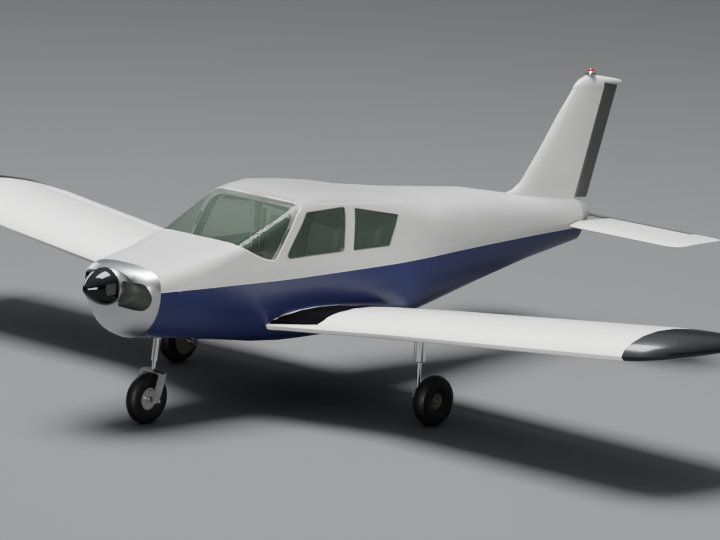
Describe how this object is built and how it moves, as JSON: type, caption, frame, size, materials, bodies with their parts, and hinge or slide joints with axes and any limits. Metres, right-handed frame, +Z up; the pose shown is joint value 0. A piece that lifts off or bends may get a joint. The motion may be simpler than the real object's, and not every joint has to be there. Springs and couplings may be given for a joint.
{
  "type": "light aircraft",
  "caption": "Low-wing light aircraft with fixed tricycle gear, cabin, opening door, moving control surfaces and a spinner without blades.",
  "frame": {"origin": "on the ground, under the middle of the overall length, on the plane of symmetry", "axes": "-Y towards the nose, +X to port, +Z up"},
  "size_m": [9.14, 7.1, 2.628],
  "materials": {
    "white_paint": "gloss white enamel",
    "blue_paint": "gloss navy enamel",
    "grey_paint": "satin dark grey enamel",
    "polished_metal": "polished aluminium",
    "dark_metal": "dark bright plating",
    "bright_steel": "bright plated steel",
    "tyre": "black tyre rubber",
    "cabin_plastic": "dark moulded plastic",
    "seat_cloth": "woven seat cloth",
    "tinted_glass": "grey-green tinted acrylic",
    "red_lens": "red lens",
    "engine_iron": "bare casting"
  },
  "bodies": {
    "airframe": {"nose_bowl": "polished_metal", "cowling_upper": "white_paint", "cowling_lower": "blue_paint", "firewall": "bright_steel", "engine_block": "engine_iron", "cabin_belly": "blue_paint", "cabin_roof": "white_paint", "cabin_side_left": "white_paint", "cabin_side_right": "white_paint", "windscreen": "tinted_glass", "front_window_left": "tinted_glass", "rear_window_left": "tinted_glass", "rear_window_right": "tinted_glass", "cabin_floor": "cabin_plastic", "cabin_rear_wall": "cabin_plastic", "instrument_panel": "cabin_plastic", "front_seat_left": "seat_cloth", "front_seat_right": "seat_cloth", "rear_seat": "seat_cloth", "tail_cone": "white_paint", "tail_end_fairing": "grey_paint", "wing_left": "white_paint", "wing_right": "white_paint", "wing_tip_left": "dark_metal", "wing_tip_right": "dark_metal", "fin": "white_paint", "fin_tip": "white_paint", "beacon_base": "bright_steel", "beacon_lens": "red_lens", "nose_strut": "bright_steel", "main_leg_left": "bright_steel", "main_leg_right": "bright_steel"},
    "propeller": {"spinner": "dark_metal", "propeller_hub": "bright_steel"},
    "door": {"cabin_door": "white_paint", "door_window": "tinted_glass"},
    "flap_left": {"flap_left": "white_paint"},
    "flap_right": {"flap_right": "white_paint"},
    "aileron_left": {"aileron_left": "white_paint"},
    "aileron_right": {"aileron_right": "white_paint"},
    "rudder": {"rudder": "grey_paint"},
    "stabilator": {"stabilator": "white_paint"},
    "anti_servo_tab": {"anti_servo_tab": "grey_paint"},
    "nose_steering": {"nose_piston": "bright_steel", "nose_fork": "bright_steel", "nose_axle": "bright_steel"},
    "nose_wheel": {"nose_tyre": "tyre", "nose_wheel": "bright_steel"},
    "main_wheel_left": {"main_left_tyre": "tyre", "main_left_wheel": "bright_steel"},
    "main_wheel_right": {"main_right_tyre": "tyre", "main_right_wheel": "bright_steel"}
  },
  "joints": [
    {"name": "propeller_spin", "type": "hinge", "parent": "airframe", "child": "propeller", "pos_m": [0, -3.335, 1.271], "axis": [0, 1, 0], "continuous": true},
    {"name": "door_hinge", "type": "hinge", "parent": "airframe", "child": "door", "pos_m": [-0.572, -1.67, 1.2], "axis": [0, 0, 1], "range_deg": [0, 75]},
    {"name": "flap_left_hinge", "type": "hinge", "parent": "airframe", "child": "flap_left", "pos_m": [1.495, -0.13, 0.8572], "axis": [-0.9935, 0, -0.1134], "range_deg": [0, 40]},
    {"name": "flap_right_hinge", "type": "hinge", "parent": "airframe", "child": "flap_right", "pos_m": [-1.495, -0.13, 0.8572], "axis": [-0.9935, 0, 0.1134], "range_deg": [0, 40]},
    {"name": "aileron_left_hinge", "type": "hinge", "parent": "airframe", "child": "aileron_left", "pos_m": [3.225, -0.13, 1.05471], "axis": [0.9935, 0, 0.1134], "range_deg": [-15, 30]},
    {"name": "aileron_right_hinge", "type": "hinge", "parent": "airframe", "child": "aileron_right", "pos_m": [-3.225, -0.13, 1.05471], "axis": [0.9935, 0, -0.1134], "range_deg": [-15, 30]},
    {"name": "rudder_hinge", "type": "hinge", "parent": "airframe", "child": "rudder", "pos_m": [0, 2.9507, 1.39387], "axis": [0, 0.3128, 0.9498], "range_deg": [-27, 27]},
    {"name": "stabilator_pivot", "type": "hinge", "parent": "airframe", "child": "stabilator", "pos_m": [0, 2.88, 1.17], "axis": [1, 0, 0], "range_deg": [-2, 14]},
    {"name": "anti_servo_tab_hinge", "type": "hinge", "parent": "stabilator", "child": "anti_servo_tab", "pos_m": [0, 3.312, 1.17], "axis": [1, 0, 0], "range_deg": [-2, 12]},
    {"name": "nose_steering_hinge", "type": "hinge", "parent": "airframe", "child": "nose_steering", "pos_m": [0, -2.661, 0.458], "axis": [0, 0.1191, 0.9929], "range_deg": [-30, 30]},
    {"name": "nose_wheel_axle", "type": "hinge", "parent": "nose_steering", "child": "nose_wheel", "pos_m": [0, -2.735, 0.2225], "axis": [1, 0, 0], "continuous": true},
    {"name": "main_wheel_left_axle", "type": "hinge", "parent": "airframe", "child": "main_wheel_left", "pos_m": [1.555, -0.765, 0.2225], "axis": [1, 0, 0], "continuous": true},
    {"name": "main_wheel_right_axle", "type": "hinge", "parent": "airframe", "child": "main_wheel_right", "pos_m": [-1.555, -0.765, 0.2225], "axis": [1, 0, 0], "continuous": true}
  ],
  "couplings": [
    {"joint": "flap_right_hinge", "follows": "flap_left_hinge", "ratio": 1},
    {"joint": "anti_servo_tab_hinge", "follows": "stabilator_pivot", "ratio": 0.8}
  ]
}
